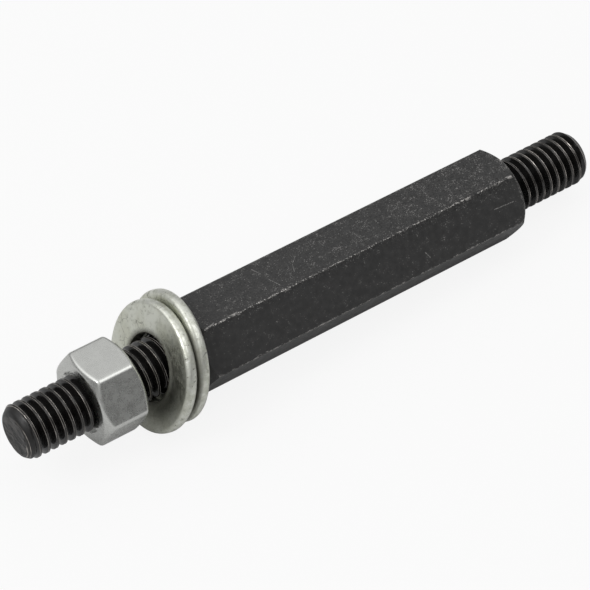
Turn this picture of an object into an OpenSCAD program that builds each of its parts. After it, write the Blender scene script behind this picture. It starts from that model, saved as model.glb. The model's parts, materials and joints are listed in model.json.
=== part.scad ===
// Threaded extension rod: a hexagon bar with a threaded stud turned on each end.
// The longer, near stud carries a hexagon nut and two loose flat washers.
// The rod lies as it comes to rest, on the rims of its washers and the far edge of the bar.

/* [Hexagon bar] */
// Width of the bar across its flats, nine sixteenths of an inch
bar_flats = 14.29; // [11:0.01:20]
// Length of the bar from shoulder to shoulder
bar_length = 65; // [30:0.5:150]
// Distance from the flats in to the rim of the turned end faces, inside the corner chamfers
bar_face_inset = 0.2; // [0.1:0.05:0.4]
// Slope of the corner chamfers at both ends of the bar
bar_chamfer = 45; // [20:1:60]

/* [Threaded studs] */
// Diameter over the thread crests, for a three eighths inch thread
thread_d = 9.4; // [7:0.01:10.2]
// Distance from one crest to the next, sixteen threads to the inch
thread_pitch = 1.5875; // [1:0.0125:2]
// Length of the near stud, which carries the nut and the washers
near_stud = 31.8; // [24:0.1:60]
// Length of the far stud
far_stud = 16.3; // [8:0.1:40]
// Length of the chamfer at the tip of each stud
tip_chamfer = 1.3; // [0.5:0.1:2.5]

/* [Nut] */
// Width of the nut across its flats
nut_flats = 14.24; // [13.6:0.01:18]
// Height of the nut
nut_height = 8.33; // [6:0.01:10]
// Distance from the flats in to the rim of the nut's faces, inside the corner chamfers
nut_face_inset = 0.57; // [0.1:0.01:0.8]
// Slope of the nut's corner chamfers
nut_chamfer = 30; // [15:1:45]
// Depth of the countersink at both ends of the nut's bore
nut_mouth = 0.5; // [0.2:0.1:0.8]
// Clear distance between the front washer's face and the nut, where they come closest
nut_clear = 2.24; // [1.8:0.01:5]
// Turn of the nut away from the flats of the bar
nut_turn = 59; // [0:1:60]

/* [Washers] */
// Outer diameter of both washers
washer_d = 21.6; // [19:0.1:26]
// Diameter of the hole in both washers
washer_hole = 11.1; // [10.8:0.1:12.5]
// Thickness of both washers
washer_thick = 2; // [1.4:0.1:2.6]
// Radius of the rolled edges around each washer
washer_edge = 0.6; // [0.1:0.05:0.6]
// Bevel at the edges of the washers' holes
hole_bevel = 0.15; // [0.05:0.05:0.3]
// Lean of the rear washer, as a share of the lean at which its hole would bind on the stud
rear_lean_share = 0.53; // [0:0.01:0.8]
// Lean of the front washer, as a share of the same binding lean
front_lean_share = 0.78; // [0:0.01:0.9]
// Turn of the rear washer about the vertical
rear_turn = 5; // [0:0.5:6]
// Turn of the front washer about the vertical
front_turn = 2.5; // [0:0.5:6]
// Sideways shift of the front washer on the stud
front_side = -0.2; // [-0.3:0.05:0.3]

/* [Clearances] */
// Radial clearance between the thread crests and the nut's bore
thread_clearance = 0.05; // [0.02:0.01:0.1]
// Gap left where the loose washers touch the stud, the bar, each other and, at the front, the ground
seat_gap = 0.1; // [0.05:0.05:0.3]

/* [Hidden] */
$fn = 96;

// Lengths along the rod are measured from the middle of its length
rod_length = near_stud + bar_length + far_stud;
near_tip = -rod_length / 2;
near_shoulder = near_tip + near_stud;
far_shoulder = near_shoulder + bar_length;

// Depth of a unified thread on each side, as a share of its pitch
form_depth = 0.6134;
crest_r = thread_d / 2;
tip_r = crest_r - form_depth * thread_pitch;
bore_r = crest_r + thread_clearance;
bar_face_r = bar_flats / 2 - bar_face_inset;
nut_face_r = nut_flats / 2 - nut_face_inset;
hexagon_sides = 6;
half_corner = 180 / hexagon_sides;

// Solids that are cut through one another reach past each other by this much
overrun = 1;

// The washers lean on the stud: at the binding lean the hole grips the stud at both rims
half_thick = washer_thick / 2;
hole_r = washer_hole / 2;
grip_r = crest_r + seat_gap;
binding_lean = acos(grip_r / norm([hole_r, half_thick])) - atan(half_thick / hole_r);
rear_lean = rear_lean_share * binding_lean;
front_lean = front_lean_share * binding_lean;
rear_axis = washer_axis(rear_lean, rear_turn);
front_axis = washer_axis(front_lean, front_turn);

// The stud hangs in the rear washer, whose centre rides above the rod's axis until the hole stops it
rear_rise = hole_rise(rear_axis);

// The back of the rear washer leans on the rim of the bar's near face
rear_back = half_thick + seat_gap + bar_face_r * sqrt(1 - pow(rear_axis.x, 2));
rear_centre = [near_shoulder - (rear_back + rear_axis.z * rear_rise) / rear_axis.x, 0, rear_rise];

// The bar's lower flat ends a little short of the far shoulder, at the chamfer
flat_end = far_shoulder - bar_face_inset * tan(bar_chamfer);

// The rod tips until the flat's far end and the lower of the two washers touch the ground
settle_steps = 8;
front_stop = hole_rise(front_axis);
rest_tilt = max(settle(rear_centre, rear_axis), settle(front_place(front_stop), front_axis));
rest_lift = flat_end * sin(rest_tilt) + bar_flats / 2 * cos(rest_tilt);
upright = [-sin(rest_tilt), 0, cos(rest_tilt)];

// The front washer carries nothing, so it sinks from there until it stands on the ground as well
front_above = front_place(front_stop) * upright + rest_lift - washer_reach(front_axis, upright);
sink_slope = upright.z - upright.x * rear_axis.z / rear_axis.x;
front_sink = max(front_above - seat_gap, 0) / sink_slope;
front_rise = max(front_stop - front_sink, -front_stop);
front_centre = front_place(front_rise);

// The nut stands off from the front washer, whose lower edge is kicked out towards it
nut_back = half_thick + nut_clear + nut_face_r * sqrt(1 - pow(front_axis.x, 2));
nut_inner = (front_centre * front_axis - nut_back) / front_axis.x;
nut_outer = nut_inner - nut_height;

// Direction of a washer's own axis, once it leans back and turns
function washer_axis(lean, turn) = [cos(lean) * cos(turn), -cos(lean) * sin(turn), -sin(lean)];

// Height of a washer's centre above the rod when its hole stops against the stud
function hole_rise(axis) = hole_r * axis.x - half_thick * sqrt(1 - axis.x * axis.x) - grip_r;

// Distance from a washer's centre to its outermost point in a given direction
function washer_reach(axis, direction) =
    let (along = abs(axis * direction), across = sqrt(1 - along * along))
    (washer_d / 2 - washer_edge) * across + (half_thick - washer_edge) * along + washer_edge;

// Place of the front washer at a given height, with its rim leaning on the face of the rear one
function front_place(rise) =
    let (
        stack = half_thick + seat_gap + washer_reach(front_axis, rear_axis),
        along = rear_centre * rear_axis - stack - rear_axis.y * front_side - rear_axis.z * rise
    )
    [along / rear_axis.x, front_side, rise];

// Tilt at which a washer and the far end of the lower flat stand on the same ground
function settle(centre, axis, tilt = 0, steps = settle_steps) =
    steps == 0 ? tilt :
    let (
        reach = washer_reach(axis, [-sin(tilt), 0, cos(tilt)]),
        drop = reach - (centre.z + bar_flats / 2) * cos(tilt)
    )
    settle(centre, axis, asin(drop / (flat_end - centre.x)), steps - 1);

// Lays a piece of the rod on the ground
module at_rest() {
    translate([0, 0, rest_lift]) rotate([0, rest_tilt, 0]) children();
}

// Turns a piece that was made upright so that its axis runs along the rod
module along_rod(start) {
    translate([start, 0, 0]) rotate([0, 90, 0]) children();
}

// Upright hexagon, a flat to the front, with both ends turned down to a round face by a corner chamfer
module chamfered_hexagon(flats, height, face_inset, slope) {
    corner_r = flats / 2 / cos(half_corner);
    face_r = flats / 2 - face_inset;
    outer_r = corner_r + overrun;
    outer_drop = (outer_r - face_r) * tan(slope);
    intersection() {
        rotate([0, 0, half_corner]) cylinder(h = height, r = corner_r, $fn = hexagon_sides);
        rotate_extrude() polygon([
            [0, 0],
            [face_r, 0],
            [outer_r, outer_drop],
            [outer_r, height - outer_drop],
            [face_r, height],
            [0, height]
        ]);
    }
}

// Upright stud with its root sunk into the bar and a chamfered tip
module stud(length) {
    rotate_extrude() polygon([
        [0, -overrun],
        [crest_r, -overrun],
        [crest_r, length - tip_chamfer],
        [tip_r, length],
        [0, length]
    ]);
}

// Upright washer, centred on its own middle, with its outer edges rolled over
module washer() {
    rim_r = washer_d / 2;
    roll_r = rim_r - washer_edge;
    rotate_extrude() {
        polygon([
            [hole_r + hole_bevel, -half_thick],
            [roll_r, -half_thick],
            [roll_r, half_thick],
            [hole_r + hole_bevel, half_thick],
            [hole_r, half_thick - hole_bevel],
            [hole_r, hole_bevel - half_thick]
        ]);
        translate([roll_r - overrun, washer_edge - half_thick])
            square([washer_edge + overrun, washer_thick - 2 * washer_edge]);
        for (side = [-1, 1])
            translate([roll_r, side * (half_thick - washer_edge)]) circle(r = washer_edge);
    }
}

// Sets a washer on the near stud, leaning back and turned
module leaning_washer(centre, lean, turn) {
    translate(centre) rotate([0, lean, -turn]) along_rod(0) washer();
}

// Steel bar and studs in one turned piece, finished in black oxide
module hex_rod() {
    color("#2b2b2c") at_rest() {
        along_rod(near_shoulder) chamfered_hexagon(bar_flats, bar_length, bar_face_inset, bar_chamfer);
        along_rod(far_shoulder) stud(far_stud);
        translate([near_shoulder, 0, 0]) rotate([0, -90, 0]) stud(near_stud);
    }
}

// Zinc plated nut, chamfered and countersunk from both sides
module hex_nut() {
    sink_r = bore_r + nut_mouth + overrun;
    color("#b4b6b4") at_rest() along_rod(nut_outer) rotate([0, 0, nut_turn])
        difference() {
            chamfered_hexagon(nut_flats, nut_height, nut_face_inset, nut_chamfer);
            rotate_extrude() polygon([
                [0, -overrun],
                [sink_r, -overrun],
                [bore_r, nut_mouth],
                [bore_r, nut_height - nut_mouth],
                [sink_r, nut_height + overrun],
                [0, nut_height + overrun]
            ]);
        }
}

// Zinc plated washer next to the nut
module front_washer() {
    color("#b9bab0") at_rest() leaning_washer(front_centre, front_lean, front_turn);
}

// Zinc plated washer next to the bar
module rear_washer() {
    color("#b0b1a6") at_rest() leaning_washer(rear_centre, rear_lean, rear_turn);
}

hex_rod();
hex_nut();
front_washer();
rear_washer();
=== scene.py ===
import json
import math

import bmesh
import bpy
import numpy as np
from mathutils import Matrix, Vector, noise


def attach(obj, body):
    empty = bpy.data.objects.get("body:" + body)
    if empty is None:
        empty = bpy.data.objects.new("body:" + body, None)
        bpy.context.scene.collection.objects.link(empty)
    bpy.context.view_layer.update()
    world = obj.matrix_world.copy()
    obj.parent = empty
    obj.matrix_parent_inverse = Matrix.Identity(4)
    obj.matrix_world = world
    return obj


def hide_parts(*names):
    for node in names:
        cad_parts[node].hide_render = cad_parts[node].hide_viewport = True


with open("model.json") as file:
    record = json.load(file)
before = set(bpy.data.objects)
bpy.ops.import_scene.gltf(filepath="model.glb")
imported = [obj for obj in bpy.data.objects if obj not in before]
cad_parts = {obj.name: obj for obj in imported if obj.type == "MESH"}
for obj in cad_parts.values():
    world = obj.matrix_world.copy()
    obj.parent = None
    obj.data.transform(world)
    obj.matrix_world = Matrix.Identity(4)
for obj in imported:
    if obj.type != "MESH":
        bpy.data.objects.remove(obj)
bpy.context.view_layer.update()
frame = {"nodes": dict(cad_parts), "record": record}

# The rod where it lies
# One steel bar with a stud turned on each end, propped on the rims of its loose washers.
# Its pieces are drawn in millimetres along the rod, from the near shoulder, and then laid in place.
mm = 0.001
mounts = {mount["name"]: mount for mount in frame["record"]["mounts"]}
rod_axis = Vector(mounts["far_stud"]["axis"]).normalized()
rod_tilt = math.atan2(-rod_axis.z, rod_axis.x)
near_shoulder = Vector(mounts["near_stud_clamp"]["pos_m"])
rod_place = Matrix.Translation(near_shoulder) @ Matrix.Rotation(rod_tilt, 4, "Y") @ Matrix.Scale(mm, 4)


def along_rod(point):
    """A point of the frame, in millimetres along and across the rod."""
    return rod_place.inverted() @ Vector(point)


rod_points = [along_rod(vert.co) for vert in frame["nodes"]["hex_rod"].data.vertices]
near_tip = min(point.x for point in rod_points)
far_tip = max(point.x for point in rod_points)
far_shoulder = along_rod(mounts["far_shoulder"]["pos_m"]).x
flat_middle = along_rod(mounts["wrench_flat"]["pos_m"])
bar_flats = 2 * math.hypot(flat_middle.y, flat_middle.z)
crest_r = mounts["far_stud"]["dims"]["r_mm"]

# The hexagon bar
# Cold-drawn hexagon steel with slightly rounded corners, faced and chamfered at both ends.
# The outline is drawn out to both ends, where each point follows the chamfer's cone.
hexagon_sides = 6
bar_face_inset = 0.2
bar_face_r = bar_flats / 2 - bar_face_inset
bar_chamfer = math.radians(45)
bar_corner = 0.28
bar_edge_r = (bar_flats / 2 - bar_corner) / math.cos(math.pi / hexagon_sides) + bar_corner
stud_relief = 0.25
merge_gap = 0.001


def hexagon_outline(flats, corner, place_x, flat_cuts=11):
    """A rim of edges around a hexagon with rounded corners, a flat to the top."""
    bm = bmesh.new()
    corner_r = flats / 2 / math.cos(math.pi / hexagon_sides)
    upright = Matrix.Translation((place_x, 0, 0)) @ Matrix.Rotation(math.radians(-90), 4, "Y")
    bmesh.ops.create_circle(bm, cap_ends=True, segments=hexagon_sides, radius=corner_r, matrix=upright)
    bmesh.ops.bevel(
        bm, geom=list(bm.verts), offset=corner * math.tan(math.pi / hexagon_sides),
        offset_type="OFFSET", segments=4, profile=0.5, affect="VERTICES", material=-1,
    )
    flat_edges = [edge for edge in bm.edges if edge.calc_length() > 2 * corner]
    bmesh.ops.subdivide_edges(bm, edges=flat_edges, cuts=flat_cuts)
    bmesh.ops.delete(bm, geom=list(bm.faces), context="FACES_ONLY")
    return bm, list(bm.edges)


def draw_on(bm, rim, shape):
    """Extrudes a rim into a band of faces and shapes the new rim point by point."""
    grown = bmesh.ops.extrude_edge_only(bm, edges=rim)["geom"]
    verts = {item for item in grown if isinstance(item, bmesh.types.BMVert)}
    for vert in verts:
        vert.co = shape(vert.co)
    return [
        item for item in grown
        if isinstance(item, bmesh.types.BMEdge) and all(vert in verts for vert in item.verts)
    ]


def radius_of(point):
    """Distance of a point from the rod's axis."""
    return math.hypot(point.y, point.z)


def at_radius(point, radius, x):
    """The point moved straight in or out to a radius, at a place along the rod."""
    share = radius / radius_of(point)
    return Vector((x, point.y * share, point.z * share))


def chamfered_end(bm, rim, end_x, inwards, face_r, slope, inner_r):
    """Draws a hexagon's rim to a chamfered end and in across its face."""
    drop = math.tan(slope) * inwards
    rim = draw_on(bm, rim, lambda co: Vector((end_x + drop * (radius_of(co) - face_r), co.y, co.z)))
    rim = draw_on(bm, rim, lambda co: at_radius(co, face_r, end_x))
    draw_on(bm, rim, lambda co: at_radius(co, inner_r, end_x))


bar, outline = hexagon_outline(bar_flats, bar_corner, far_shoulder / 2)
for end_x, inwards in ((0, 1), (far_shoulder, -1)):
    chamfered_end(bar, outline, end_x, inwards, bar_face_r, bar_chamfer, crest_r + stud_relief)

# The threads of both studs
# Rolled right-handed threads, sixteen to the inch, with a seam along the crests and rounded roots.
# One cut through the ridges is swept once round the rod while it climbs by one pitch.
# Each thread is set by the place where one of its crests passes the back of the rod.
thread_pitch = 25.4 / 16
thread_depth = 0.98
thread_steps = 96
half_crest = [(0, 0.07), (0.09, 0.06), (0.15, 0), (0.19, 0)]
half_flank = [(0.23, 0.04), (0.27, 0.12), (0.50, 0.54), (0.69, 0.89)]
half_ridge = half_crest + half_flank
near_crest = -26.05
far_crest = 75.08
tip_chamfer = 1.3
tip_drop = 0.974
tip_r = crest_r - tip_drop
tip_round = 0.4
tear_depth = 0.12
tear_grain = 0.9
tear_hollow = 0.4
run_in = 0.9
run_out = 0.3
near_slot, far_slot, sheared_slot = 1, 2, 3


def ridge_cut(first_x, last_x, crest_x, reshape):
    """Points along the crests and grooves of a thread, from one place to another."""
    root = [(thread_pitch / 2, thread_depth)]
    ridge = [(-x, drop) for x, drop in half_ridge[:0:-1]] + half_ridge + root
    first = math.floor((first_x - crest_x) / thread_pitch)
    last = math.ceil((last_x - crest_x) / thread_pitch)
    for turn in range(first, last + 1):
        for x, drop in ridge:
            yield crest_x + turn * thread_pitch + x, reshape(crest_r - drop)


def thread_between(first_x, last_x, crest_x, reshape=lambda radius: radius):
    """A thread around the rod, trimmed square at both ends."""
    bm = bmesh.new()
    cut = ridge_cut(first_x - 2 * thread_pitch, last_x + thread_pitch, crest_x, reshape)
    verts = [bm.verts.new((x, radius, 0)) for x, radius in cut]
    edges = [bm.edges.new(pair) for pair in zip(verts, verts[1:])]
    climb = (thread_pitch / thread_steps, 0, 0)
    bmesh.ops.spin(
        bm, geom=verts + edges, cent=(0, 0, 0), axis=(1, 0, 0), dvec=climb,
        angle=2 * math.pi, steps=thread_steps, use_merge=False,
    )
    bmesh.ops.remove_doubles(bm, verts=bm.verts, dist=merge_gap)
    for x, side in ((first_x, -1), (last_x, 1)):
        everything = bm.verts[:] + bm.edges[:] + bm.faces[:]
        bmesh.ops.bisect_plane(
            bm, geom=everything, dist=merge_gap, plane_co=(x, 0, 0), plane_no=(side, 0, 0), clear_outer=True
        )
    return bm


def rim_at(bm, x):
    """The open edges of a bmesh at a place along the rod."""
    return [
        edge for edge in bm.edges
        if edge.is_boundary and all(abs(vert.co.x - x) < 10 * merge_gap for vert in edge.verts)
    ]


def chamfer_tip(bm, tip_x, shoulder_x):
    """Turns the tip down to a cone with a rounded edge, and lets the grooves run in and out."""
    for vert in bm.verts:
        depth = abs(vert.co.x - tip_x)
        cone_r = tip_r + (crest_r - tip_r) * depth / tip_chamfer
        if depth < tip_round:
            cone_r -= tip_round * (1 - math.sqrt(1 - (1 - depth / tip_round) ** 2))
        cut = min(depth - run_in, abs(vert.co.x - shoulder_x) - run_out)
        groove_r = min(cone_r, crest_r) - max(cut, 0)
        radius = min(max(radius_of(vert.co), groove_r), cone_r)
        vert.co = at_radius(vert.co, radius, vert.co.x)


def join_into(bm, part, slot):
    """Copies one bmesh into another, under a material slot of its own."""
    for face in part.faces:
        face.material_index = slot
    mesh = bpy.data.meshes.new("joined")
    part.to_mesh(mesh)
    part.free()
    bm.from_mesh(mesh)
    bpy.data.meshes.remove(mesh)


def sheared_tip(bm, tip_x, outwards):
    """Closes a stud's tip with a sheared end that is uneven by a few hundredths."""
    rim = rim_at(bm, tip_x)
    old = set(bm.faces)
    for share in (0.93, 0.8, 0.62, 0.4, 0.2):
        def uneven(co, share=share):
            place = at_radius(co, (tip_r - tip_round) * share, tip_x)
            place.x += outwards * tear_depth * (noise.noise(place * tear_grain) - tear_hollow * (1 - share))
            return place
        rim = draw_on(bm, rim, uneven)
    bmesh.ops.edgeloop_fill(bm, edges=rim)
    for face in set(bm.faces) - old:
        face.material_index = sheared_slot


for tip_x, shoulder_x, crest_x, slot, outwards in (
    (near_tip, 0, near_crest, near_slot, -1),
    (far_tip, far_shoulder, far_crest, far_slot, 1),
):
    stud = thread_between(min(tip_x, shoulder_x), max(tip_x, shoulder_x), crest_x)
    chamfer_tip(stud, tip_x, shoulder_x)
    join_into(bar, stud, slot)
    sheared_tip(bar, tip_x, outwards)
for shoulder_x in (0, far_shoulder):
    bmesh.ops.bridge_loops(bar, edges=rim_at(bar, shoulder_x))


def add(tree, kind, inputs=None, **settings):
    """Adds a shader node, with its sockets given values or joined to other sockets."""
    made = tree.nodes.new("ShaderNode" + kind)
    for name, value in settings.items():
        setattr(made, name, value)
    for socket, value in (inputs or {}).items():
        if isinstance(value, bpy.types.NodeSocket):
            tree.links.new(value, made.inputs[socket])
        else:
            made.inputs[socket].default_value = value
    return made


def new_finish(name):
    """A new material with its node tree and its shader."""
    made = bpy.data.materials.new(name)
    made.use_nodes = True
    return made, made.node_tree, made.node_tree.nodes["Principled BSDF"]


def own_axes(tree, place):
    """Millimetres along a piece's own axes."""
    spot, turn, scale = place.decompose()
    coords = add(tree, "TexCoord").outputs["Object"]
    inputs = {"Vector": coords, "Location": spot, "Rotation": turn.to_euler(), "Scale": scale}
    return add(tree, "Mapping", inputs, vector_type="TEXTURE").outputs[0]


def grain(tree, coords, size, detail=2.0, stretch=(1, 1, 1), roughness=0.5):
    """Cloudy variation with features of about the given size in millimetres."""
    scale = [axis / size for axis in stretch]
    inputs = {"Vector": coords, "Scale": scale}
    scaled = add(tree, "Mapping", inputs).outputs[0]
    inputs = {"Vector": scaled, "Scale": 1.0, "Detail": detail, "Roughness": roughness}
    return add(tree, "TexNoise", inputs).outputs[0]


def ramp(tree, value, low, high, bottom=0.0, top=1.0):
    """A smooth step from one level to another as a value passes between two limits."""
    inputs = {"Value": value, "From Min": low, "From Max": high, "To Min": bottom, "To Max": top}
    return add(tree, "MapRange", inputs, interpolation_type="SMOOTHSTEP").outputs[0]


def maths(tree, operation, first, second=0.0):
    """One sum on two values."""
    return add(tree, "Math", {0: first, 1: second}, operation=operation).outputs[0]


def mix(tree, share, first, second):
    """One colour laid over another."""
    return add(tree, "Mix", {0: share, 6: first, 7: second}, data_type="RGBA").outputs[2]


def grey(level, warm=0.0):
    """A grey of a given level, warmed a little."""
    return (level * (1 + warm), level, level * (1 - warm), 1.0)


def relief(tree, shader, height, depth):
    """Gives a shader a fine relief, as deep as the given millimetres."""
    bump = add(tree, "Bump", {"Height": height, "Distance": depth * mm, "Strength": 1.0})
    tree.links.new(bump.outputs[0], shader.inputs["Normal"])


def distance_from_axis(tree, coords):
    """Millimetres from a piece's own long axis."""
    across = add(tree, "VectorMath", {0: coords, 1: (0, 1, 1)}, operation="MULTIPLY").outputs[0]
    return add(tree, "VectorMath", {0: across}, operation="LENGTH").outputs["Value"]


def scratch(tree, coords, start, end, width):
    """A scratch from one point to another, one in its middle and nothing beside it."""
    start, run = Vector(start), Vector(end) - Vector(start)
    away = add(tree, "VectorMath", {0: coords, 1: start}, operation="SUBTRACT").outputs[0]
    dot = add(tree, "VectorMath", {0: away, 1: run}, operation="DOT_PRODUCT").outputs["Value"]
    along = {0: dot, 1: run.length_squared}
    share = add(tree, "Math", along, operation="DIVIDE", use_clamp=True).outputs[0]
    nearest = add(tree, "VectorMath", {0: run, "Scale": share}, operation="SCALE").outputs[0]
    gap = add(tree, "VectorMath", {0: away, 1: nearest}, operation="DISTANCE").outputs["Value"]
    return ramp(tree, gap, width * 0.3, width, 1.0, 0.0)


def black_oxide():
    """Satin black oxide with pale specks, worn bright in a broken line along the corners."""
    made, tree, shader = new_finish("black_oxide")
    coords = own_axes(tree, rod_place)
    parts = add(tree, "SeparateXYZ", {0: coords}).outputs
    radius = distance_from_axis(tree, coords)
    cloud = grain(tree, coords, 8, 3)
    mottle = grain(tree, coords, 1.1, 4, roughness=0.6)
    fleck = grain(tree, coords, 0.2, 2, roughness=0.6)
    upper = ramp(tree, parts["Z"], 5.5, 7.1, 0.0, 0.05)
    farther = ramp(tree, parts["X"], 15, 60, 0.0, 0.03)
    farther = maths(tree, "MULTIPLY", farther, ramp(tree, parts["Z"], 4, 7, 0.3, 1.0))
    wear = maths(tree, "ADD", upper, farther)
    density = maths(tree, "ADD", maths(tree, "MULTIPLY", mottle, 0.5), wear)
    specks = ramp(tree, maths(tree, "ADD", fleck, density), 0.93, 1.02)
    pits = ramp(tree, grain(tree, coords, 0.3, 2, roughness=0.6), 0.48, 0.64)
    pits = maths(tree, "MULTIPLY", pits, maths(tree, "MULTIPLY", wear, 9))
    lint = ramp(tree, grain(tree, coords, 0.5, 3, (0.35, 1, 1), 0.7), 0.66, 0.78, 0.0, 0.5)
    edge = ramp(tree, radius, bar_edge_r - 0.067, bar_edge_r - 0.012)
    broken = ramp(tree, maths(tree, "ADD", fleck, maths(tree, "MULTIPLY", mottle, 0.6)), 0.80, 0.94)
    chips = ramp(tree, maths(tree, "ADD", grain(tree, coords, 0.8, 2, (0.5, 1, 1)), cloud), 1.13, 1.22)
    near_edge = ramp(tree, radius, bar_edge_r - 0.167, bar_edge_r - 0.047, 0.0, 0.7)
    chips = maths(tree, "MULTIPLY", chips, near_edge)
    worn = maths(tree, "MAXIMUM", maths(tree, "MULTIPLY", edge, broken), chips)
    upper_front = maths(
        tree, "MULTIPLY", ramp(tree, parts["Z"], 2, 6, 0.8, 1.0), ramp(tree, parts["Y"], -2, 2, 1.0, 0.2)
    )
    worn = maths(tree, "MULTIPLY", worn, upper_front)
    far_rim = ramp(tree, parts["X"], far_shoulder - 0.8, far_shoulder - 0.3, 0.0, 0.5)
    far_rim = maths(tree, "MULTIPLY", far_rim, ramp(tree, radius, bar_face_r - 0.3, bar_face_r))
    worn = maths(tree, "MAXIMUM", worn, maths(tree, "MULTIPLY", far_rim, broken))
    top = bar_flats / 2
    marks = (
        ((1.3, -4.15, top), (3.3, -3.75, top), 0.22),
        ((4.9, -4.0, top), (5.3, -4.0, top), 0.22),
        ((6.7, -4.05, top), (7.7, -3.95, top), 0.32),
        ((15.4, 2.8, top), (16.0, 1.0, top), 0.07),
        ((16.3, -0.7, top), (17.0, -2.8, top), 0.07),
        ((23.0, 1.2, top), (21.5, 0.0, top), 0.05),
        ((21.5, 0.0, top), (20.7, -1.65, top), 0.05),
        ((29.2, -0.9, top), (29.7, -1.3, top), 0.12),
        ((29.7, -1.3, top), (30.5, -1.4, top), 0.12),
        ((43.72, -6.72, 2.65), (44.36, -7.31, 1.63), 0.10),
        ((58.74, -6.09, 3.74), (62.73, -6.22, 3.51), 0.12),
    )
    scored = 0.0
    for start, end, width in marks:
        scored = maths(tree, "MAXIMUM", scored, scratch(tree, coords, start, end, width))
    scored = maths(tree, "MULTIPLY", scored, ramp(tree, fleck, 0.35, 0.6))
    base = mix(tree, cloud, grey(0.034, 0.0), grey(0.041, 0.01))
    base = mix(tree, ramp(tree, mottle, 0.3, 0.7), base, grey(0.047, 0.01))
    base = mix(tree, pits, base, grey(0.012, 0.02))
    base = mix(tree, maths(tree, "MAXIMUM", specks, lint), base, grey(0.2, 0.03))
    base = mix(tree, maths(tree, "MULTIPLY", scored, 0.65), base, grey(0.34, 0.03))
    base = mix(tree, worn, base, grey(0.44, 0.04))
    tree.links.new(base, shader.inputs["Base Color"])
    tree.links.new(ramp(tree, mottle, 0.25, 0.75, 0.31, 0.43), shader.inputs["Roughness"])
    tree.links.new(maths(tree, "MULTIPLY", worn, 0.7), shader.inputs["Metallic"])
    shader.inputs["Specular IOR Level"].default_value = 0.2
    relief(tree, shader, maths(tree, "ADD", fleck, mottle), 0.012)
    return made


def crest_offset(tree, coords, crest_x):
    """Millimetres along the rod from the middle of the nearest crest of a thread, below zero before it."""
    parts = add(tree, "SeparateXYZ", {0: coords}).outputs
    turn = maths(tree, "DIVIDE", maths(tree, "ARCTAN2", parts["Z"], parts["Y"]), 2 * math.pi)
    climbed = maths(tree, "DIVIDE", maths(tree, "SUBTRACT", parts["X"], crest_x), thread_pitch)
    phase = maths(tree, "FRACT", maths(tree, "ADD", maths(tree, "SUBTRACT", climbed, turn), 0.5))
    return maths(tree, "MULTIPLY", maths(tree, "SUBTRACT", phase, 0.5), thread_pitch)


def black_thread(name, tip_x, crest_x, line_at, line_width, brightness):
    """Glossy black oxide in the grooves, dull on the tip, rubbed bright in ragged lines along the crests."""
    made, tree, shader = new_finish(name)
    coords = own_axes(tree, rod_place)
    length = add(tree, "SeparateXYZ", {0: coords}).outputs["X"]
    from_tip = maths(tree, "ABSOLUTE", maths(tree, "SUBTRACT", length, tip_x))
    dull = ramp(tree, from_tip, tip_chamfer * 0.6, tip_chamfer, 0.26, 0.0)
    fleck = grain(tree, coords, 0.5, 3, (2, 0.6, 0.6), 0.6)
    offset = crest_offset(tree, coords, crest_x)
    across = maths(tree, "ABSOLUTE", offset)
    side = add(tree, "CombineXYZ", {0: maths(tree, "MULTIPLY", maths(tree, "SIGN", offset), 20)}).outputs[0]
    patch = grain(tree, add(tree, "VectorMath", {0: coords, 1: side}, operation="ADD").outputs[0], 3.5, 2)
    across = maths(tree, "ADD", across, maths(tree, "MULTIPLY", maths(tree, "SUBTRACT", fleck, 0.5), 0.07))
    gap = maths(tree, "ABSOLUTE", maths(tree, "SUBTRACT", across, line_at))
    line = ramp(tree, gap, line_width * 0.4, line_width, 1.0, 0.0)
    crest = ramp(tree, across, 0.2, 0.3, 1.0, 0.0)
    rubbed = maths(tree, "MULTIPLY", line, ramp(tree, patch, 0.38, 0.62, 0.08, 1.0))
    rubbed = maths(tree, "MULTIPLY", rubbed, ramp(tree, fleck, 0.3, 0.55, 0.4, 1.0))
    base = mix(tree, fleck, grey(0.003), grey(0.006, 0.1))
    base = mix(tree, crest, base, grey(0.009, 0.15))
    base = mix(tree, rubbed, base, grey(brightness, 0.08))
    tree.links.new(base, shader.inputs["Base Color"])
    gloss = ramp(tree, fleck, 0.3, 0.7, 0.12, 0.22)
    tree.links.new(maths(tree, "ADD", gloss, dull), shader.inputs["Roughness"])
    shader.inputs["Specular IOR Level"].default_value = 0.5
    tree.links.new(maths(tree, "MULTIPLY", rubbed, 0.9), shader.inputs["Metallic"])
    relief(tree, shader, fleck, 0.006)
    return made


def sheared_steel():
    """The rough sheared ends of the studs, oxide over torn metal."""
    made, tree, shader = new_finish("sheared_steel")
    coords = own_axes(tree, rod_place)
    tear = grain(tree, coords, 1.3, 4, (1, 0.45, 1.5), 0.65)
    fleck = grain(tree, coords, 0.3, 3)
    base = mix(tree, ramp(tree, tear, 0.44, 0.62), grey(0.008, 0.02), grey(0.055, 0.05))
    base = mix(tree, ramp(tree, fleck, 0.6, 0.75), base, grey(0.10, 0.06))
    tree.links.new(base, shader.inputs["Base Color"])
    shader.inputs["Roughness"].default_value = 0.42
    shader.inputs["Specular IOR Level"].default_value = 0.25
    relief(tree, shader, tear, 0.25)
    return made


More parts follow.
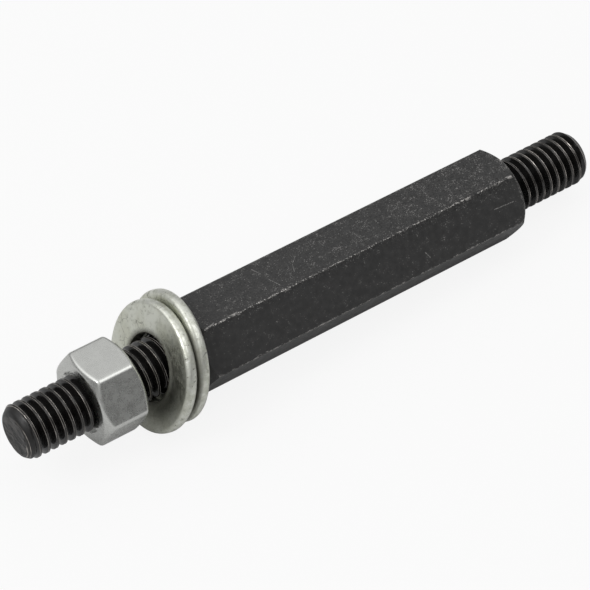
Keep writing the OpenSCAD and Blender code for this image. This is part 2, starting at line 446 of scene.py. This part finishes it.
def finish_piece(bm, name, place, finishes, smooth_below=32):
    """Lays a bmesh in place as a finished object at the origin."""
    bmesh.ops.remove_doubles(bm, verts=bm.verts, dist=merge_gap)
    bmesh.ops.transform(bm, matrix=place, verts=bm.verts)
    bmesh.ops.recalc_face_normals(bm, faces=bm.faces)
    mesh = bpy.data.meshes.new(name)
    bm.to_mesh(mesh)
    bm.free()
    mesh.shade_smooth()
    mesh.set_sharp_from_angle(angle=math.radians(smooth_below))
    for finish in finishes:
        mesh.materials.append(finish)
    piece = bpy.data.objects.new(name, mesh)
    bpy.context.scene.collection.objects.link(piece)
    weights = piece.modifiers.new("flat_faces_stay_flat", "WEIGHTED_NORMAL")
    weights.keep_sharp = True
    return piece


near_thread = black_thread(
    "black_near_thread", near_tip, near_crest, line_at=0.17, line_width=0.05, brightness=0.48
)
far_thread = black_thread(
    "black_far_thread", far_tip, far_crest, line_at=0.15, line_width=0.05, brightness=0.42
)
rod_finishes = [black_oxide(), near_thread, far_thread, sheared_steel()]
hexagon_rod = finish_piece(bar, "hexagon_rod", rod_place, rod_finishes)
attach(hexagon_rod, "rod")
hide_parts("hex_rod")

# The two loose washers
# Stamped steel washers, zinc plated, with their outer edges rolled over by the die.
# They hang on the near stud and lean back, so each takes its place from the solid that it stands for.
washer_roll = 0.8
hole_bevel = 0.15
washer_steps = 144
soot_r = 8
rim_nick = ((-0.95, -7.90, 6.75), (-0.53, -8.03, 7.18))


def washer_lie(node):
    """Where a washer's middle is and which way it faces, as a place in millimetres."""
    points = np.array([vert.co for vert in frame["nodes"][node].data.vertices])
    middle = (points.min(0) + points.max(0)) / 2
    facing = Vector(np.linalg.svd(points - middle)[2][2])
    facing *= math.copysign(1, facing.x)
    turn = facing.to_track_quat("X", "Z").to_matrix().to_4x4()
    return Matrix.Translation(middle) @ turn @ Matrix.Scale(mm, 4)


def washer_sizes(node, place):
    """Hole radius, rim radius and half the thickness of a washer."""
    points = [place.inverted() @ vert.co for vert in frame["nodes"][node].data.vertices]
    radii = [radius_of(point) for point in points]
    return min(radii), max(radii), max(point.x for point in points)


def stamped_washer(hole_r, rim_r, half_thick):
    """A washer's section with rounded corners, spun once round."""
    bm = bmesh.new()
    corners = [(-half_thick, hole_r), (half_thick, hole_r), (half_thick, rim_r), (-half_thick, rim_r)]
    section = bm.faces.new([bm.verts.new((x, radius, 0)) for x, radius in corners])
    for at_hole, offset, segments in ((True, hole_bevel, 2), (False, washer_roll, 8)):
        verts = [vert for vert in section.verts if (vert.co.y < (hole_r + rim_r) / 2) == at_hole]
        bmesh.ops.bevel(
            bm, geom=verts, offset=offset, offset_type="OFFSET", segments=segments,
            profile=0.5, affect="VERTICES", material=-1,
        )
        section = bm.faces[:][0]
    bmesh.ops.delete(bm, geom=bm.faces[:], context="FACES_ONLY")
    bmesh.ops.spin(
        bm, geom=bm.verts[:] + bm.edges[:], cent=(0, 0, 0), axis=(1, 0, 0),
        angle=2 * math.pi, steps=washer_steps, use_merge=True,
    )
    return bm


def washer_zinc(name, place, rim_r, tint, seed, sooty, inner_side):
    """Pale zinc plate, a little yellow, with grime in its pits and around the hole, painted shade where the
    washers meet and on the lower right of each face.
    """
    made, tree, shader = new_finish(name)
    coords = own_axes(tree, place)
    radius = distance_from_axis(tree, coords)
    parts = add(tree, "SeparateXYZ", {0: coords}).outputs
    # Painted shade: the faces where the washers meet are darkened towards the front, in the grime colour.
    inwards = maths(tree, "MULTIPLY", parts["X"], inner_side)
    beside = ramp(tree, parts["Y"], -7, -2, 0.6, 0.0)
    gap_painted_shade = maths(tree, "MULTIPLY", ramp(tree, inwards, 0.3, 0.75), beside)
    nick = scratch(tree, coords, *rim_nick, 0.13) if inner_side > 0 else 0.0
    coords = add(tree, "VectorMath", {0: coords, 1: (seed, 0, 0)}, operation="ADD").outputs[0]
    cloud = grain(tree, coords, 4, 3)
    mottle = grain(tree, coords, 0.9, 4, roughness=0.6)
    fleck = grain(tree, coords, 0.3, 3, roughness=0.6)
    bent = add(tree, "TexNoise", {"Vector": coords, "Scale": 0.8, "Detail": 2.0}).outputs["Color"]
    bent = add(tree, "VectorMath", {0: coords, 1: bent}, operation="ADD").outputs[0]
    cracked = ramp(tree, maths(tree, "ADD", cloud, ramp(tree, parts["Y"], -1, 5, 0.0, 0.12)), 0.56, 0.66)
    cells = {"Vector": bent, "Scale": 0.42}
    cracks = add(tree, "TexVoronoi", cells, feature="DISTANCE_TO_EDGE").outputs["Distance"]
    cracks = maths(tree, "MULTIPLY", ramp(tree, cracks, 0.008, 0.026, 1.0, 0.0), cracked)
    pits = ramp(tree, maths(tree, "ADD", fleck, maths(tree, "MULTIPLY", mottle, 0.5)), 0.90, 1.0)
    ragged = maths(tree, "ADD", maths(tree, "MULTIPLY", mottle, 0.12), maths(tree, "MULTIPLY", fleck, 0.1))
    soot = maths(tree, "ADD", maths(tree, "DIVIDE", radius, soot_r), ragged)
    soot = ramp(tree, soot, sooty, sooty + 0.16, 0.97, 0.0)
    # Grime in cracks, pits and round the hole, joined with the painted shade between the washers.
    dirt_and_gap_shade = maths(tree, "MAXIMUM", maths(tree, "MULTIPLY", cracks, 0.55), maths(tree, "MAXIMUM", pits, soot))
    dirt_and_gap_shade = maths(tree, "MAXIMUM", dirt_and_gap_shade, gap_painted_shade)
    # Painted shade and painted reflection: the lower right of each face is darkened from the hole outwards,
    # in place of the dark stud and shaded table it mirrors.
    low_right = ramp(tree, maths(tree, "ADD", parts["Y"], parts["Z"]), -9, -1, 1.0, 0.0)
    lower_right_painted_shade = maths(tree, "ADD", maths(tree, "DIVIDE", radius, soot_r), maths(tree, "MULTIPLY", fleck, 0.3))
    lower_right_painted_shade = maths(tree, "MULTIPLY", ramp(tree, lower_right_painted_shade, 0.95, 1.7, 0.9, 0.0), low_right)
    base = mix(tree, ramp(tree, cloud, 0.35, 0.65), tint, (0.62, 0.63, 0.54, 1.0))
    base = mix(tree, ramp(tree, mottle, 0.45, 0.75, 0.0, 0.6), base, (0.47, 0.48, 0.41, 1.0))
    polished = ramp(tree, radius, rim_r - 0.8, rim_r - 0.1, 0.0, 0.6)
    polished = maths(tree, "MULTIPLY", polished, ramp(tree, mottle, 0.35, 0.6, 1.0, 0.2))
    base = mix(tree, polished, base, (0.84, 0.85, 0.80, 1.0))
    # The painted shade on the lower right goes on first, then the grime and the painted gap shade.
    base = mix(tree, lower_right_painted_shade, base, (0.19, 0.19, 0.16, 1.0))
    base = mix(tree, dirt_and_gap_shade, base, (0.045, 0.042, 0.028, 1.0))
    base = mix(tree, nick, base, (0.85, 0.85, 0.82, 1.0))
    tree.links.new(base, shader.inputs["Base Color"])
    tree.links.new(ramp(tree, mottle, 0.3, 0.7, 0.33, 0.47), shader.inputs["Roughness"])
    bare = maths(tree, "SUBTRACT", 1.0, maths(tree, "MULTIPLY", dirt_and_gap_shade, 0.8))
    tree.links.new(bare, shader.inputs["Metallic"])
    relief(tree, shader, maths(tree, "ADD", fleck, mottle), 0.032)
    return made


for node, tint, seed, sooty, inner_side in (
    ("rear_washer", (0.68, 0.695, 0.625, 1.0), 0.0, 0.95, -1),
    ("front_washer", (0.70, 0.715, 0.645, 1.0), 40.0, 0.79, 1),
):
    lie = washer_lie(node)
    hole_r, rim_r, half_thick = washer_sizes(node, lie)
    washer = stamped_washer(hole_r, rim_r, half_thick)
    finish = washer_zinc(node + "_zinc", lie, rim_r, tint, seed, sooty, inner_side)
    piece = finish_piece(washer, "stamped_" + node, lie, [finish])
    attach(piece, "rod")
    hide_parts(node)

# The nut
# A bright zinc nut, chamfered and countersunk from both sides, screwed on to the near stud.
# Its thread is cut by the same ridges as the stud's, with a little clearance.
nut_points = [along_rod(vert.co) for vert in frame["nodes"]["hex_nut"].data.vertices]
nut_outer = min(point.x for point in nut_points)
nut_inner = max(point.x for point in nut_points)
nut_flats = 2 * max(radius_of(point) for point in nut_points) * math.cos(math.pi / hexagon_sides)
nut_face_inset = 0.57
nut_face_r = nut_flats / 2 - nut_face_inset
nut_chamfer = math.radians(30)
nut_corner = 0.9
nut_edge = 0.42
face_edge = 0.12
nut_turn = math.radians(59)
thread_play = 0.05
nut_bore_r = 4.0
nut_mouth = 0.5
mouth_r = crest_r + thread_play + nut_mouth
mouth_rim = 0.2
mouth_step = 0.16
mouth_steps = 8
plate_slot, thread_slot = 0, 1

nut, outline = hexagon_outline(nut_flats, nut_corner, (nut_outer + nut_inner) / 2)
bmesh.ops.rotate(nut, verts=nut.verts, cent=(0, 0, 0), matrix=Matrix.Rotation(nut_turn, 3, "X"))
for end_x, inwards in ((nut_outer, 1), (nut_inner, -1)):
    chamfered_end(nut, outline, end_x, inwards, nut_face_r, nut_chamfer, mouth_r + mouth_rim)
for sharper_than, offset, segments in ((45, nut_edge, 5), (20, face_edge, 2)):
    least = math.radians(sharper_than)
    sharp = [edge for edge in nut.edges if edge.is_manifold and edge.calc_face_angle() > least]
    bmesh.ops.bevel(
        nut, geom=sharp, offset=offset, offset_type="OFFSET", segments=segments,
        profile=0.5, affect="EDGES", material=-1,
    )
bore = thread_between(
    nut_outer, nut_inner, near_crest, lambda radius: max(radius + thread_play, nut_bore_r)
)
for step in range(1, mouth_steps + 1):
    for x in (nut_outer + step * mouth_step, nut_inner - step * mouth_step):
        everything = bore.verts[:] + bore.edges[:] + bore.faces[:]
        bmesh.ops.bisect_plane(
            bore, geom=everything, dist=merge_gap, plane_co=(x, 0, 0), plane_no=(1, 0, 0)
        )


def mouth_radius(point):
    """Radius of the countersink's cone at a point of the bore."""
    return mouth_r - min(point.x - nut_outer, nut_inner - point.x)


for vert in bore.verts:
    if radius_of(vert.co) < mouth_radius(vert.co):
        vert.co = at_radius(vert.co, mouth_radius(vert.co), vert.co.x)
join_into(nut, bore, thread_slot)
for face in nut.faces:
    if all(radius_of(vert.co) - mouth_radius(vert.co) < merge_gap for vert in face.verts):
        face.material_index = plate_slot
for end_x in (nut_outer, nut_inner):
    bmesh.ops.bridge_loops(nut, edges=rim_at(nut, end_x))


def nut_zinc():
    """Bright zinc plate with a fine mottle and scattered pits."""
    made, tree, shader = new_finish("nut_zinc")
    coords = own_axes(tree, rod_place)
    cloud = grain(tree, coords, 1.3, 3, roughness=0.6)
    fleck = grain(tree, coords, 0.19, 2, roughness=0.6)
    mottle = maths(tree, "ADD", maths(tree, "MULTIPLY", cloud, 0.6), maths(tree, "MULTIPLY", fleck, 0.6))
    pits = ramp(tree, fleck, 0.70, 0.80, 0.0, 0.3)
    base = mix(tree, ramp(tree, mottle, 0.45, 0.75), (0.555, 0.561, 0.541, 1.0), (0.61, 0.617, 0.595, 1.0))
    base = mix(tree, pits, base, grey(0.18, 0.05))
    tree.links.new(base, shader.inputs["Base Color"])
    tree.links.new(ramp(tree, mottle, 0.45, 0.75, 0.25, 0.33), shader.inputs["Roughness"])
    shader.inputs["Metallic"].default_value = 1.0
    relief(tree, shader, mottle, 0.01)
    return made


def nut_thread():
    """The nut's own thread, dull zinc painted darker than the outer plate, as painted shade inside the bore.
    """
    made, tree, shader = new_finish("nut_thread")
    coords = own_axes(tree, rod_place)
    fleck = grain(tree, coords, 0.4, 3)
    # Painted shade: a darker zinc than the outer plate.
    tree.links.new(mix(tree, fleck, grey(0.34, 0.04), grey(0.50, 0.02)), shader.inputs["Base Color"])
    shader.inputs["Metallic"].default_value = 1.0
    shader.inputs["Roughness"].default_value = 0.4
    return made


hexagon_nut = finish_piece(nut, "hexagon_nut", rod_place, [nut_zinc(), nut_thread()])
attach(hexagon_nut, "nut")
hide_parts("hex_nut")

# The floor and the light
# A wide white table in a tent, dim near the table and in front, bright overhead, with two brighter panels.
# One soft lamp from the left shapes the metal and leaves a soft shadow.
floor_size = 8.0
floor_white = 0.68
seen_white = 0.88
mirrored_white = 0.05

floor_bm = bmesh.new()
bmesh.ops.create_grid(floor_bm, x_segments=1, y_segments=1, size=floor_size / 2)
floor_mesh = bpy.data.meshes.new("table")
floor_bm.to_mesh(floor_mesh)
floor_bm.free()
table_top, tree, shader = new_finish("table_white")
shader.inputs["Base Color"].default_value = (floor_white, floor_white, floor_white, 1.0)
shader.inputs["Roughness"].default_value = 0.9
shader.inputs["Specular IOR Level"].default_value = 0.1
rays = add(tree, "LightPath").outputs
mirrored = maths(tree, "ADD", rays["Is Glossy Ray"], rays["Is Transmission Ray"])
seen = maths(tree, "MULTIPLY", rays["Is Camera Ray"], seen_white)
seen = maths(tree, "ADD", seen, maths(tree, "MULTIPLY", mirrored, mirrored_white))
glow = add(tree, "Emission", {"Color": (1.0, 1.0, 1.0, 1.0), "Strength": 1.0}).outputs[0]
bright = add(tree, "MixShader", {0: seen, 1: shader.outputs[0], 2: glow}).outputs[0]
tree.links.new(bright, tree.nodes["Material Output"].inputs["Surface"])
floor_mesh.materials.append(table_top)
floor = bpy.data.objects.new("table", floor_mesh)
bpy.context.scene.collection.objects.link(floor)

world = bpy.data.worlds.new("tent")
bpy.context.scene.world = world
world.use_nodes = True
tree = world.node_tree
direction = add(tree, "TexCoord").outputs["Generated"]
height = add(tree, "SeparateXYZ", {0: direction}).outputs["Z"]
tent_low, tent_high = 0.22, 0.95
level = ramp(tree, height, -0.05, 0.95, tent_low, tent_high)


def towards(place):
    """One straight towards a place of the tent, less around it."""
    inputs = {0: direction, 1: place}
    return add(tree, "VectorMath", inputs, operation="DOT_PRODUCT").outputs["Value"]


dim_side = (0.41, -0.90, 0.14)
dim_share = 0.56
bright_panels = (((0.41, -0.33, 0.85), 1.1), ((-0.41, 0.57, 0.71), 0.6))
level = maths(tree, "MULTIPLY", level, ramp(tree, towards(dim_side), 0.35, 0.95, 1.0, dim_share))
for panel, brightness in bright_panels:
    level = maths(tree, "ADD", level, ramp(tree, towards(panel), 0.92, 0.98, 0.0, brightness))
tree.links.new(level, tree.nodes["Background"].inputs["Strength"])
tree.nodes["Background"].inputs["Color"].default_value = (1.0, 1.0, 1.0, 1.0)

lamp = bpy.data.lights.new("soft_lamp", "AREA")
lamp.shape = "DISK"
lamp.size = 0.35
lamp.energy = 1.6
lamp_object = bpy.data.objects.new("soft_lamp", lamp)
bpy.context.scene.collection.objects.link(lamp_object)
lamp_object.location = (-0.60, 0.05, 0.68)
lamp_object.rotation_euler = (-lamp_object.location).to_track_quat("-Z", "Y").to_euler()

# The camera
# A long lens from in front and above the near end, as the rod was pictured.
# It stands about half a metre away, so the far stud looks a little smaller than the near one.
camera_spot = Vector((-209.43, -286.48, 364.78)) * mm
camera_turn = [math.radians(angle) for angle in (44.790, 0.994, -36.839)]
camera = bpy.data.cameras.new("camera")
camera.lens = 189.0
camera.sensor_width = 36.0
camera_object = bpy.data.objects.new("camera", camera)
camera_object.location = camera_spot
camera_object.rotation_euler = camera_turn
bpy.context.scene.collection.objects.link(camera_object)
bpy.context.scene.camera = camera_object
bpy.context.scene.view_settings.view_transform = "Standard"
